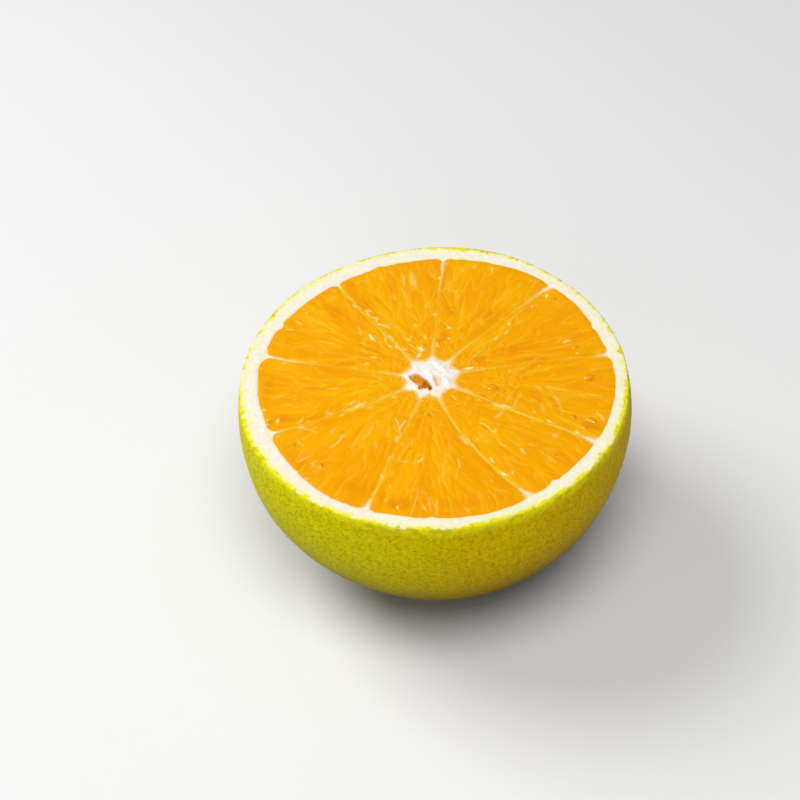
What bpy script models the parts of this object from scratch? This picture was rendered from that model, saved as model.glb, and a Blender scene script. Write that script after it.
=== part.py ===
"""Half an orange, cut across its segments and resting on its blossom end.

Metres, +Z up. The origin is the middle of the small flat spot that the fruit rests on, and -Y is its front.
It grew as one piece, so it is one solid. Its skin is built from rings of points: out across the cut face
from the core, over the rim, and down the peel to the flat spot. Each ring has one point in every column, and
on the cut face the columns follow the walls between the segments.
"""

import math
from collections import namedtuple

import bmesh
import bpy
from mathutils import Vector, noise

MM = 0.001

# Whole fruit: round, and a little wider than it is tall
FRUIT_RADIUS = 38.9 * MM
POLE_RADIUS = 38.6 * MM
CUT_PAST_MIDDLE = 7.4 * MM
FLAT_SPOT_RADIUS = 7.0 * MM

# Unevenness of the peel. Lobes go round the fruit: how many, how high, and the direction of the first
LOBES = ((3, 0.20 * MM, -39), (5, 0.15 * MM, 1))
SWELL_HEIGHT = 0.20 * MM
SWELL_LENGTH = 14.0 * MM
SWELL_FADE_DEG = 25

# Peel on the cut face, from the outside in
ZEST = 0.7 * MM
RIM_ROUNDING = 0.25 * MM
PITH = 2.6 * MM

# Middle of the core, from the fruit's axis
CORE_MIDDLE = Vector((-0.6 * MM, 0.6 * MM))

# Walls between the segments, anticlockwise: each one's direction from +X at the pith and at the core, and the
# radius of the pulp's corners beside it
Wall = namedtuple("Wall", "pith_deg core_deg corner")
WALLS = (
    Wall(10, 13, 1.8 * MM),
    Wall(47, 51, 1.7 * MM),
    Wall(87, 88, 1.9 * MM),
    Wall(127, 129, 2.0 * MM),
    Wall(170, 173, 2.8 * MM),
    Wall(206, 213, 2.6 * MM),
    Wall(252, 252, 1.8 * MM),
    Wall(302, 288, 1.0 * MM),
    Wall(332, 331, 1.5 * MM),
)
WALL_HALF_WIDTH = 0.25 * MM

# Segment after each wall: how far its pulp reaches from the fruit's axis, near its start and near its end
SEGMENT_REACH = (
    (34.8 * MM, 35.3 * MM),
    (35.5 * MM, 35.0 * MM),
    (34.4 * MM, 34.1 * MM),
    (34.2 * MM, 34.7 * MM),
    (34.7 * MM, 34.1 * MM),
    (34.5 * MM, 35.4 * MM),
    (35.0 * MM, 35.8 * MM),
    (35.1 * MM, 35.2 * MM),
    (35.6 * MM, 35.5 * MM),
)
REACH_SHARE = 0.25

# Relief of the pulp: a groove along each edge, a low crown inside it, and ridges where the juice sacs lie
GROOVE_WIDTH = 0.7 * MM
GROOVE_DEPTH = 0.7 * MM
CROWN_HEIGHT = 0.1 * MM
CROWN_REACH = 4.0 * MM
SAC_HEIGHT = 0.45 * MM
SAC_TAPER = 0.8
COLUMN_DEG = 3.0
COLUMNS_A_SAC = 3
PULP_ROWS = 12
ROWS_A_SAC = 5

# Core: white fibre that runs out into arms along the walls, with two torn cavities
CORE_RADIUS = 4.4 * MM
CORE_ARM = 1.8 * MM
CORE_ARM_HALF_WIDTH = 1.6 * MM
CORE_RINGS = 5
Cavity = namedtuple("Cavity", "x y half_length half_width direction_deg depth")
CAVITIES = (
    Cavity(-2.3 * MM, -0.4 * MM, 2.7 * MM, 1.4 * MM, -50, 2.6 * MM),
    Cavity(1.1 * MM, -0.1 * MM, 1.4 * MM, 1.0 * MM, -75, 1.6 * MM),
)

# Rows down the peel, over how many columns it evens out their spacing, and the dimple that the blossom left
PEEL_ROWS = 11
SPREAD_COLUMNS = 7
SCAR_RADIUS = 2.2 * MM
SCAR_DEPTH = 0.9 * MM
SCAR_FLOOR_SHARE = 0.5

# Worked out from the sizes above
MIDDLE_Z = POLE_RADIUS * math.sqrt(1 - (FLAT_SPOT_RADIUS / FRUIT_RADIUS) ** 2)
FACE_Z = MIDDLE_Z + CUT_PAST_MIDDLE
CUT_LATITUDE = math.asin(CUT_PAST_MIDDLE / POLE_RADIUS)
FLAT_LATITUDE = -math.acos(FLAT_SPOT_RADIUS / FRUIT_RADIUS)
FLESH_RADIUS = FRUIT_RADIUS * math.cos(CUT_LATITUDE) - ZEST - PITH

# Each material's name, colour, and roughness
MATERIALS = (
    ("peel", (0.62, 0.60, 0.01), 0.45),
    ("pith", (0.95, 0.90, 0.74), 0.70),
    ("flesh", (0.98, 0.36, 0.01), 0.30),
    ("core", (0.93, 0.88, 0.80), 0.65),
)
PEEL_SLOT, PITH_SLOT, FLESH_SLOT, CORE_SLOT = range(len(MATERIALS))

# A column keeps to a share of the way from its segment's first wall to its second, less a gap at both. On the
# pulp it follows the crest of a juice sac or the dip beside one, and every second sac starts half a sac later
Column = namedtuple("Column", "segment share gap crest stagger")


def make_columns():
    """Columns from the core to the pith: three on each wall, and a few for each row of juice sacs."""
    columns = []
    groove = WALL_HALF_WIDTH + GROOVE_WIDTH
    for segment, wall in enumerate(WALLS):
        width_deg = (WALLS[(segment + 1) % len(WALLS)].pith_deg - wall.pith_deg) % 360
        steps = round(width_deg / COLUMN_DEG)
        columns.append(Column(segment, 0, 0, 0, 0))
        columns.append(Column(segment, 0, WALL_HALF_WIDTH, 0, 0))
        for step in range(steps + 1):
            crest = -math.cos(2 * math.pi * (step + 0.5) / COLUMNS_A_SAC)
            stagger = step // COLUMNS_A_SAC % 2 / 2
            columns.append(Column(segment, step / steps, groove, crest, stagger))
        columns.append(Column(segment, 1, WALL_HALF_WIDTH, 0, 0))
    return columns


def on_wall(column):
    return column.gap <= WALL_HALF_WIDTH


def wall_angle(wall, radius):
    """Direction of a wall from the core's middle, at this distance from it."""
    at_pith, at_core, _ = WALLS[wall % len(WALLS)]
    share = (radius - CORE_RADIUS) / (FLESH_RADIUS - CORE_RADIUS)
    turns = wall // len(WALLS)
    return math.radians(at_core + (at_pith - at_core) * share + 360 * turns)


def column_angle(column, radius):
    start = wall_angle(column.segment, radius) + column.gap / radius
    end = wall_angle(column.segment + 1, radius) - column.gap / radius
    return start + (end - start) * column.share


def wall_distance(column, radius):
    """From a column to the middle of the nearer wall, at this distance from the core's middle."""
    angle = column_angle(column, radius)
    since_wall = angle - wall_angle(column.segment, radius)
    to_wall = wall_angle(column.segment + 1, radius) - angle
    return radius * min(since_wall, to_wall)


def segment_reach(segment, share):
    """How far a segment's pulp reaches from the fruit's axis, this share of the way across the segment."""
    start, end = SEGMENT_REACH[segment]
    before = SEGMENT_REACH[segment - 1][1]
    after = SEGMENT_REACH[(segment + 1) % len(WALLS)][0]
    if share < REACH_SHARE:
        return start + (before - start) / 2 * (1 - share / REACH_SHARE)
    if share > 1 - REACH_SHARE:
        return end + (after - end) / 2 * (1 - (1 - share) / REACH_SHARE)
    return start + (end - start) * (share - REACH_SHARE) / (1 - 2 * REACH_SHARE)


def flesh_outer_radius(column):
    """From the core's middle to where a column meets the pith, drawn in at each segment's round corners."""
    angle = column_angle(column, FLESH_RADIUS)
    along = CORE_MIDDLE.dot(Vector((math.cos(angle), math.sin(angle))))
    reach = segment_reach(column.segment, column.share)
    length = math.sqrt(along**2 - CORE_MIDDLE.length_squared + reach**2) - along
    corner = WALLS[(column.segment + round(column.share)) % len(WALLS)].corner
    into_corner = max(0, corner - wall_distance(column, FLESH_RADIUS))
    return length - corner + math.sqrt(corner**2 - into_corner**2)


def flesh_inner_radius(column):
    """From the core's middle to where a column leaves the core's white fibre."""
    nearness = max(0, 1 - wall_distance(column, CORE_RADIUS) / CORE_ARM_HALF_WIDTH)
    return CORE_RADIUS + CORE_ARM * nearness**2


def smooth_step(value):
    value = min(max(value, 0), 1)
    return value * value * (3 - 2 * value)


def pulp_height(edge_distance, sac_height):
    """Height of the pulp over the cut, this far inside its segment's edge."""
    if edge_distance < GROOVE_WIDTH:
        return -GROOVE_DEPTH * smooth_step(edge_distance / GROOVE_WIDTH)
    rise = smooth_step((edge_distance - GROOVE_WIDTH) / (CROWN_REACH - GROOVE_WIDTH))
    return -GROOVE_DEPTH + (GROOVE_DEPTH + CROWN_HEIGHT + sac_height) * rise


def sac_height(column, row, radius):
    """How far a juice sac stands above the pulp, or dips between sacs. Sacs are small near the core."""
    along_sac = 2 * math.pi * (row / ROWS_A_SAC + column.stagger)
    swell = 1 - SAC_TAPER * (1 + math.cos(along_sac)) / 2
    return SAC_HEIGHT * column.crest * swell * radius / FLESH_RADIUS


def core_height(x, y):
    """Height of the core over the cut: level fibre, with the cavities sunk in it."""
    height = 0
    for cavity in CAVITIES:
        turn = math.radians(cavity.direction_deg)
        east = x - cavity.x
        north = y - cavity.y
        length = (east * math.cos(turn) + north * math.sin(turn)) / cavity.half_length
        width = (north * math.cos(turn) - east * math.sin(turn)) / cavity.half_width
        height = min(height, -cavity.depth * smooth_step(1 - length**2 - width**2))
    return height


def face_point(column, radius, height=0):
    """A point on a column. Inside the core, the columns run straight to its middle."""
    angle = column_angle(column, max(radius, CORE_RADIUS))
    x = CORE_MIDDLE.x + radius * math.cos(angle)
    y = CORE_MIDDLE.y + radius * math.sin(angle)
    return Vector((x, y, FACE_Z + height))


def make_core_rings(columns):
    """Round rings inside the core, then its star-shaped edge."""
    rings = []
    for step in range(1, CORE_RINGS):
        ring = [face_point(column, CORE_RADIUS * step / CORE_RINGS) for column in columns]
        for point in ring:
            point.z += core_height(point.x, point.y)
        rings.append(ring)
    rings.append([face_point(column, flesh_inner_radius(column)) for column in columns])
    return rings


def make_pulp_rings(columns):
    """Rings across the segments, from just outside the core's edge to the pith."""
    rings = [[] for _ in range(PULP_ROWS + 1)]
    for column in columns:
        inner = flesh_inner_radius(column)
        outer = flesh_outer_radius(column)
        between = outer - inner - 2 * GROOVE_WIDTH
        for row in range(PULP_ROWS):
            radius = inner + GROOVE_WIDTH + between * row / (PULP_ROWS - 1)
            to_wall = max(0, wall_distance(column, radius) - WALL_HALF_WIDTH)
            edge_distance = min(to_wall, radius - inner, outer - radius)
            height = pulp_height(edge_distance, sac_height(column, row, radius))
            rings[row].append(face_point(column, radius, height))
        rings[PULP_ROWS].append(face_point(column, outer))
    return rings


def spread_longitudes(ring):
    """Each point's direction from the fruit's axis, averaged with its neighbours', so that none crowd."""
    own = [math.atan2(point.y, point.x) for point in ring]
    near = range(-SPREAD_COLUMNS, SPREAD_COLUMNS + 1)
    longitudes = []
    for index, longitude in enumerate(own):
        turns = [own[(index + step) % len(own)] - longitude for step in near]
        shift = sum(math.remainder(turn, 2 * math.pi) for turn in turns) / len(turns)
        longitudes.append(longitude + shift)
    return longitudes


def peel_point(longitude, latitude):
    """A point on the peel."""
    radius = FRUIT_RADIUS * math.cos(latitude)
    for lobes, height, first_deg in LOBES:
        around = lobes * (longitude - math.radians(first_deg))
        radius += height * math.cos(around) * math.cos(latitude)
    outward = Vector((math.cos(longitude), math.sin(longitude), 0))
    point = outward * radius
    point.z = MIDDLE_Z + POLE_RADIUS * math.sin(latitude)
    fade = smooth_step((latitude - FLAT_LATITUDE) / math.radians(SWELL_FADE_DEG))
    return point + outward * (SWELL_HEIGHT * fade * noise.noise(point / SWELL_LENGTH))


def make_peel_rings(longitudes):
    """Rings over the rim and down the peel, from the pith's outer edge to the edge of the flat spot."""
    rings = []
    for inset in (ZEST, RIM_ROUNDING):
        ring = []
        for longitude in longitudes:
            point = peel_point(longitude, CUT_LATITUDE)
            ring.append(point - Vector((point.x, point.y, 0)).normalized() * inset)
        rings.append(ring)
    top = CUT_LATITUDE - RIM_ROUNDING / POLE_RADIUS
    for row in range(PEEL_ROWS + 1):
        latitude = top + (FLAT_LATITUDE - top) * row / PEEL_ROWS
        rings.append([peel_point(longitude, latitude) for longitude in longitudes])
    return rings


def make_scar_rings(longitudes):
    """The edge of the dimple in the flat spot, and the edge of its floor."""
    rings = []
    for radius, height in ((SCAR_RADIUS, 0), (SCAR_RADIUS * SCAR_FLOOR_SHARE, SCAR_DEPTH)):
        rings.append([Vector((radius * math.cos(a), radius * math.sin(a), height)) for a in longitudes])
    return rings


def close_ring(shape, ring, centre, slot, upward):
    for start, end in zip(ring, ring[1:] + ring[:1]):
        pair = (start, end) if upward else (end, start)
        shape.faces.new((centre, *pair)).material_index = slot


def join_rings(shape, inner, outer, slots):
    """Faces between two rings, facing away from the fruit, with a material slot for each column's gap."""
    for index, slot in enumerate(slots):
        after = (index + 1) % len(inner)
        corners = (inner[index], outer[index], outer[after], inner[after])
        shape.faces.new(corners).material_index = slot


def make_skin():
    """The whole closed skin."""
    columns = make_columns()
    core_rings = make_core_rings(columns)
    pulp_rings = make_pulp_rings(columns)
    longitudes = spread_longitudes(pulp_rings[-1])
    peel_rings = make_peel_rings(longitudes)
    mid_pith = [(inner + outer) / 2 for inner, outer in zip(pulp_rings[-1], peel_rings[0])]

    pulp_slots = []
    for column, after in zip(columns, columns[1:] + columns[:1]):
        pulp_slots.append(PITH_SLOT if on_wall(column) and on_wall(after) else FLESH_SLOT)
    sections = (
        (core_rings, [CORE_SLOT] * len(columns)),
        (pulp_rings, pulp_slots),
        ([mid_pith, peel_rings[0]], [PITH_SLOT] * len(columns)),
        (peel_rings[1:] + make_scar_rings(longitudes), [PEEL_SLOT] * len(columns)),
    )
    shape = bmesh.new()
    middle = Vector((*CORE_MIDDLE, FACE_Z + core_height(*CORE_MIDDLE)))
    previous = None
    for rings, slots in sections:
        for points in rings:
            ring = [shape.verts.new(point) for point in points]
            if previous is None:
                close_ring(shape, ring, shape.verts.new(middle), CORE_SLOT, upward=True)
            else:
                join_rings(shape, previous, ring, slots)
            previous = ring
    scar_middle = shape.verts.new((0, 0, SCAR_DEPTH))
    close_ring(shape, previous, scar_middle, PEEL_SLOT, upward=False)
    bmesh.ops.triangulate(shape, faces=shape.faces[:])
    return shape


def make_material(name, colour, roughness):
    material = bpy.data.materials.new(name)
    material.use_nodes = True
    shader = material.node_tree.nodes["Principled BSDF"]
    shader.inputs["Base Color"].default_value = (*colour, 1)
    shader.inputs["Roughness"].default_value = roughness
    shader.inputs["Metallic"].default_value = 0
    return material


def make_orange_half():
    mesh = bpy.data.meshes.new("orange_half")
    shape = make_skin()
    shape.to_mesh(mesh)
    shape.free()
    for name, colour, roughness in MATERIALS:
        mesh.materials.append(make_material(name, colour, roughness))
    mesh.shade_smooth()
    mesh.set_sharp_from_angle(angle=math.radians(40))
    fruit = bpy.data.objects.new("orange_half", mesh)
    bpy.context.collection.objects.link(fruit)


for leftover in list(bpy.data.objects):
    bpy.data.objects.remove(leftover)
make_orange_half()
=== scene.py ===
"""Half an orange, cut across its segments: its finished surface, a floor, lights and a camera.

Metres, +Z up, in the solid's own frame. Finer skins of the same form replace the solid orange_half: the peel
with its oil pores, the pith, the pulp of each segment, the walls between them, the core, and the juice.
"""

import math

import bpy
import numpy as np
from mathutils import Matrix, Vector, noise


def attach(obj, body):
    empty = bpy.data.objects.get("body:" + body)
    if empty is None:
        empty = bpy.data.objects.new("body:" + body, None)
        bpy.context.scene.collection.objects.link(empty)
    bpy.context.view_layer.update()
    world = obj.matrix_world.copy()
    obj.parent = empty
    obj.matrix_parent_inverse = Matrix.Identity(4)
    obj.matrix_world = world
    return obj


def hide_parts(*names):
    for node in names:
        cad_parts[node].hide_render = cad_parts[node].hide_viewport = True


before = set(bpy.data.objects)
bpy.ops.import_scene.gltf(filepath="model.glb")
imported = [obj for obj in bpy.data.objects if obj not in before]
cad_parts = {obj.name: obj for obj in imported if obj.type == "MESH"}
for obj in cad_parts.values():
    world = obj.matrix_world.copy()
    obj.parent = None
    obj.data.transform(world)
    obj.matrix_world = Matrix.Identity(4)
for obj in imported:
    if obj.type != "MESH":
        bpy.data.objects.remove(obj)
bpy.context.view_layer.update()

MM = 0.001
SEED = 11

# The solid's driving sizes
FRUIT_RADIUS = 38.9 * MM
POLE_RADIUS = 38.6 * MM
CUT_PAST_MIDDLE = 7.4 * MM
FLAT_SPOT_RADIUS = 7.0 * MM
LOBES = ((3, 0.20 * MM, -39), (5, 0.15 * MM, 1))
SWELL_HEIGHT = 0.20 * MM
SWELL_LENGTH = 14.0 * MM
SWELL_FADE_DEG = 25
ZEST = 0.7 * MM
PITH = 2.6 * MM
CORE_MIDDLE = np.array((-0.6, 0.6)) * MM
WALLS = (
    # direction from +X at the pith and at the core, degrees, and radius of the pulp's corners, mm
    (10, 13, 1.8),
    (47, 51, 1.7),
    (87, 88, 1.9),
    (127, 129, 2.0),
    (170, 173, 2.8),
    (206, 213, 2.6),
    (252, 252, 1.8),
    (302, 288, 1.0),
    (332, 331, 1.5),
)
SEGMENT_REACH = (
    # from the fruit's axis to the pith, near the segment's start and near its end, mm
    (34.8, 35.3),
    (35.5, 35.0),
    (34.4, 34.1),
    (34.2, 34.7),
    (34.7, 34.1),
    (34.5, 35.4),
    (35.0, 35.8),
    (35.1, 35.2),
    (35.6, 35.5),
)
REACH_SHARE = 0.25
CORE_RADIUS = 4.4 * MM
CORE_ARM = 1.8 * MM
CORE_ARM_HALF_WIDTH = 1.6 * MM

# Worked out from them
MIDDLE_Z = POLE_RADIUS * math.sqrt(1 - (FLAT_SPOT_RADIUS / FRUIT_RADIUS) ** 2)
FACE_Z = MIDDLE_Z + CUT_PAST_MIDDLE
CUT_LATITUDE = math.asin(CUT_PAST_MIDDLE / POLE_RADIUS)
FLAT_LATITUDE = -math.acos(FLAT_SPOT_RADIUS / FRUIT_RADIUS)
CUT_RADIUS = FRUIT_RADIUS * math.cos(CUT_LATITUDE)
ZEST_RADIUS = CUT_RADIUS - ZEST
FLESH_RADIUS = ZEST_RADIUS - PITH
WALL_COUNT = len(WALLS)
WALL_WAYS = np.radians([wall[:2] for wall in WALLS])
WALL_CORNERS = np.array([wall[2] for wall in WALLS]) * MM

# Fineness of the skins. The number of columns is a multiple, so that rings can halve their points four times
COLUMN_MULTIPLE = 16
PULP_STEP = 0.17 * MM
PEEL_STEP = 0.42 * MM
CORE_STEP = 0.12 * MM
PITH_ROWS = 18
SPREAD_SHARE = 26
SHARP_DEG = 60

# How far the hidden edges of the pulp, and of the pith and the core, go down
PULP_SKIRT = 0.4 * MM
PITH_SKIRT = 0.6 * MM

# Relief of the peel, the pith and the core. Rings round the rim, by inset and drop, and from the flat spot's
# edge to the middle of the dimple in it, by radius and height, mm
PORE_SPACING = 1.25 * MM
PORE_DEPTH = 0.085 * MM
RIM_RINGS = ((0.45, 0.0), (0.24, 0.01), (0.10, 0.05))
RIM_DROP = 0.16 * MM
DIMPLE_RINGS = ((5.6, 0), (4.4, 0), (3.3, 0), (2.7, 0), (2.25, 0.02), (1.95, 0.22), (1.6, 0.5), (1.2, 0.7),
                (0.9, 0.62), (0.55, 0.45), (0.2, 0.40))
PITH_DIP = 0.10 * MM
CORE_DIP = 0.09 * MM
CORE_FADE = 1.1 * MM

# Walls: half width where thinnest, and what the pith and the core add, mm; size and length of their wavers
WALL_HALF_WIDTHS = (0.10, 0.26, 0.12)
WALL_WAVERS = ((0.09 * MM, 3.1 * MM), (0.05 * MM, 1.2 * MM))

# Their columns in the cut face, and the strip over each, in half widths, with its height in mm
WALL_SIDES = (-0.5, 0.0, 0.5)
WALL_STRIP = (-2.8, -1.9, -0.9, 0.0, 0.9, 1.9, 2.8)
WALL_CROWN = (-0.21, -0.145, -0.118, -0.112, -0.118, -0.145, -0.21)
WALL_TUCK = 0.4 * MM
WALL_LOOKS = (
    # how plainly a wall shows at the core, half way and at the pith, and how far in it is white, mm
    (0.8, 0.08, 0.5, 2.5),
    (0.8, 0.18, 0.9, 5.0),
    (0.6, 0.22, 0.8, 8.0),
    (0.8, 0.80, 0.6, 1.5),
    (0.5, 0.08, 1.0, 9.0),
    (0.6, 0.10, 0.7, 3.0),
    (0.5, 0.10, 0.8, 2.0),
    (0.8, 0.80, 0.9, 2.0),
    (0.8, 0.90, 0.8, 2.0),
)

# Small dips of the pulp's outline, between the walls: direction in degrees, depth in mm
NOTCHES = ((23, 0.4), (110, -0.5), (155, 0.5), (272, 0.35), (311, 0.4))
NOTCH_HALF_WIDTH = 0.9 * MM

# Relief of the pulp, in mm above the cut: its edge lies low, and the sacs bulge and lean
EDGE_HEIGHT = -0.12
GROOVE_DEPTH = 0.07
SAC_BULGE = 0.08
SAC_BULGE_AT_FOCUS = 0.04
SAC_LEAN = 0.035
STRAND_HEIGHT = 0.015
WET_HEIGHT = 0.10
STROKE_HEIGHT = 0.05
CREASE_DEPTH = 0.06

# Juice sacs, scattered without crowding, with many looks of the seams between them, and streaks that fan out
# from a focus in each segment, this share of the way from the core to the pith
SAC_TRIES = 1500
SAC_SPACING = 1.25
SEAM_KINDS = 997
FOCUS_SHARES = (0.12, 0.05, 0.03, 0.12, 0.10, 0.00, 0.10, 0.10, 0.34)
FAN_FINENESS = 24.0
FAN_LENGTH = 5.0 * MM
FOCUS_BLUR = 2.4 * MM

# Marks on the pulp, in mm from the fruit's axis
WET_PATCHES = (
    # pale with a painted highlight, and glossy, on the pulp: x, y, half length, half width, direction in
    # degrees, strength
    (-12.7, 11.8, 1.1, 0.42, -55, 1.0),
    (-7.6, 9.1, 0.6, 0.42, -70, 0.95),
    (-2.7, 8.4, 0.9, 0.6, -50, 1.0),
    (-3.1, 6.5, 1.1, 0.55, 60, 0.75),
    (-1.8, 11.6, 0.8, 0.26, -75, 0.65),
    (-3.9, 15.0, 0.6, 0.5, 70, 0.45),
    (-16.6, 20.7, 0.7, 0.32, -60, 0.8),
    (-11.9, 6.1, 0.7, 0.32, -15, 0.75),
    (-13.3, 4.2, 0.5, 0.38, -30, 0.55),
    (-27.6, 15.8, 0.8, 0.28, -30, 0.6),
    (-26.3, 18.7, 0.5, 0.4, 0, 0.35),
    (-29.5, 13.9, 1.1, 0.24, -3, 0.6),
    (0.0, 18.2, 0.6, 0.34, 80, 0.9),
    (0.5, 28.9, 0.6, 0.4, 80, 0.85),
    (2.9, 14.3, 0.6, 0.4, -35, 0.8),
    (2.8, 11.4, 0.4, 0.24, -60, 0.8),
    (14.9, 15.2, 0.6, 0.3, 80, 0.85),
    (14.4, 12.9, 0.6, 0.35, 60, 0.6),
    (12.3, 11.4, 0.7, 0.42, 60, 0.55),
    (22.5, 23.4, 0.5, 0.34, 80, 0.95),
    (11.4, 31.4, 1.1, 0.32, -80, 0.65),
    (7.6, 32.4, 0.6, 0.5, 80, 0.4),
    (26.2, 10.4, 1.0, 0.36, 30, 0.65),
    (28.3, 7.1, 0.3, 0.26, 0, 0.75),
    (-5.0, 28.0, 3.0, 0.75, -80, 0.42),
    (6.9, 3.0, 1.2, 0.36, 15, 0.95),
    (15.0, 2.0, 0.8, 0.26, 80, 0.55),
    (13.3, -7.1, 1.9, 0.55, -12, 0.8),
    (22.5, -11.2, 0.7, 0.28, -50, 1.0),
    (27.9, -14.1, 0.6, 0.32, -60, 0.8),
    (23.5, -14.8, 0.6, 0.5, 80, 0.5),
    (17.5, -18.8, 1.1, 0.38, -60, 0.55),
    (15.6, -24.2, 0.8, 0.3, -70, 0.6),
    (11.7, -21.0, 0.8, 0.34, -60, 0.7),
    (13.9, -24.4, 0.9, 0.32, -55, 0.95),
    (6.6, -16.0, 1.9, 0.6, -50, 0.6),
    (-14.8, -7.4, 2.2, 0.5, 33, 0.75),
    (-17.4, -9.6, 0.6, 0.26, 50, 0.6),
    (-32.6, -8.2, 0.4, 0.3, 0, 0.7),
    (-31.7, -11.0, 0.5, 0.3, -60, 0.6),
    (-29.8, -11.2, 0.7, 0.45, 80, 0.8),
    (-25.3, -11.0, 0.5, 0.3, 60, 0.55),
    (-25.3, -12.8, 0.9, 0.32, -8, 0.85),
    (-9.0, -25.1, 0.9, 0.34, 85, 0.8),
    (-6.4, -15.6, 1.0, 0.55, 85, 0.45),
    (-1.8, -21.1, 0.9, 0.28, 45, 0.75),
    (-7.6, -20.4, 1.2, 0.3, 50, 0.5),
    (-5.7, -32.6, 0.5, 0.3, 80, 0.6),
)
WET_RINGS = (
    # the same, pale round a clear middle
    (-9.1, 10.6, 1.4, 0.65, -75, 0.5),
    (-5.6, 12.3, 1.4, 0.7, -65, 0.55),
    (-10.6, 15.9, 1.6, 0.8, -35, 0.6),
    (-12.9, 18.3, 1.4, 0.6, -40, 0.65),
    (-26.3, -4.7, 1.1, 0.5, 40, 0.4),
    (-21.1, -22.2, 1.2, 0.75, -30, 0.3),
    (-23.2, -25.0, 1.0, 0.6, -20, 0.35),
)
STROKES = (
    # cut skins of sacs: x and y of both ends, sag to the left, half width, strength, below 0 in a crease with
    # painted shade
    (-7.0, -10.3, -6.2, -13.4, 0.15, 0.2, 1.0),
    (-5.1, -11.0, -5.7, -15.3, -0.5, 0.2, 0.8),
    (9.3, -11.3, 11.4, -13.6, 0.2, 0.18, 1.0),
    (11.4, -13.6, 12.5, -13.7, 0.0, 0.24, 0.9),
    (12.8, -16.3, 14.3, -17.6, 0.0, 0.2, 0.55),
    (18.5, -16.8, 20.2, -17.6, 0.0, 0.2, 0.4),
    (20.5, -18.4, 23.8, -21.8, 0.0, 0.13, 0.5),
    (14.0, -8.0, 12.0, -9.9, 0.3, 0.22, 0.6),
    (31.6, -8.6, 33.1, -11.0, 0.0, 0.26, 0.6),
    (30.0, -3.7, 32.7, -4.8, 0.0, 0.18, 0.5),
    (22.0, -2.0, 26.0, -3.2, 0.1, 0.2, 0.45),
    (20.0, -1.7, 21.2, -3.2, 0.1, 0.16, 0.6),
    (22.8, -3.2, 24.3, -6.6, 0.3, 0.15, 0.5),
    (24.3, -5.0, 24.9, -9.5, 0.2, 0.14, 0.4),
    (17.3, -3.5, 15.4, -8.0, 0.0, 0.18, 0.5),
    (15.7, -3.0, 14.2, -6.2, 0.0, 0.16, 0.4),
    (21.2, -6.0, 21.4, -9.0, 0.0, 0.16, 0.45),
    (13.0, 11.0, 13.3, 9.0, 0.1, 0.12, 0.5),
    (7.0, 4.4, 9.6, 8.0, 0.3, 0.15, 0.6),
    (2.0, 28.6, 2.4, 25.0, 0.0, 0.16, 0.45),
    (0.2, 10.0, 1.2, 8.7, 0.0, 0.2, 0.8),
    (1.6, 15.3, 3.4, 14.0, 0.2, 0.16, 0.6),
    (-7.0, 30.5, -6.7, 26.8, 0.0, 0.26, 0.6),
    (-7.2, 26.0, -6.2, 23.0, 0.0, 0.26, 0.4),
    (-22.9, 10.5, -20.2, 10.0, 0.0, 0.14, 0.5),
    (-15.7, 15.2, -14.8, 12.2, 0.0, 0.16, 0.5),
    (-14.4, 10.6, -13.5, 9.0, 0.0, 0.14, 0.5),
    (-14.6, 8.8, -13.2, 6.8, 0.0, 0.14, 0.5),
    (-20.8, -2.6, -18.7, -2.5, 0.0, 0.2, 0.5),
    (-31.3, -5.6, -28.9, -3.9, 0.0, 0.14, 0.4),
    (-29.5, -6.8, -25.9, -7.7, 0.1, 0.18, 0.45),
    (-24.5, -13.1, -21.8, -14.1, 0.0, 0.2, 0.45),
    (-25.6, -16.0, -24.3, -17.4, 0.0, 0.2, 0.6),
    (-19.4, -14.2, -18.4, -12.7, 0.0, 0.2, 0.5),
    (-19.3, -18.1, -16.6, -14.5, -0.3, 0.22, 0.65),
    (-12.9, -15.6, -11.0, -12.4, 0.0, 0.26, 0.4),
    (-25.3, -21.8, -22.4, -19.8, 0.0, 0.18, 0.5),
    (-10.3, -16.8, -10.2, -18.2, 0.0, 0.14, 0.5),
    (-5.6, -21.3, -3.0, -21.7, 0.0, 0.16, 0.45),
    (2.2, -21.8, 2.6, -25.4, 0.1, 0.16, 0.4),
    (5.2, -20.4, 5.6, -22.8, 0.1, 0.22, 0.7),
    (5.3, -23.4, 4.9, -25.8, 0.0, 0.14, 0.4),
    (-1.9, -28.0, -3.3, -34.4, 0.2, 0.15, 0.45),
    (-1.2, -28.6, 0.6, -33.8, 0.2, 0.14, 0.4),
    (-1.2, -32.0, -0.2, -33.6, 0.0, 0.16, 0.7),
    (0.1, -29.8, 1.2, -32.4, 0.0, 0.14, 0.4),
    (1.5, -30.8, 1.4, -34.2, 0.0, 0.18, 0.5),
    (6.8, -32.5, 7.8, -34.0, 0.0, 0.2, 0.45),
    (-17.0, 22.5, -14.6, 20.2, 0.0, 0.16, -0.6),
    (9.0, -4.0, 13.2, -6.6, 0.0, 0.18, -0.5),
    (7.3, -15.4, 9.4, -18.2, 0.0, 0.16, -0.5),
    (27.3, -14.6, 29.0, -15.3, 0.0, 0.18, -0.6),
    (22.0, -11.2, 23.6, -12.4, -0.1, 0.14, -0.6),
    (9.1, -11.8, 10.9, -13.8, 0.1, 0.12, -0.5),
    (1.0, 15.8, 2.6, 14.4, 0.0, 0.2, -0.6),
    (-13.9, 18.4, -12.6, 17.5, 0.0, 0.2, -0.6),
    (4.9, -20.7, 5.2, -23.0, 0.1, 0.14, -0.4),
)
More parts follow.
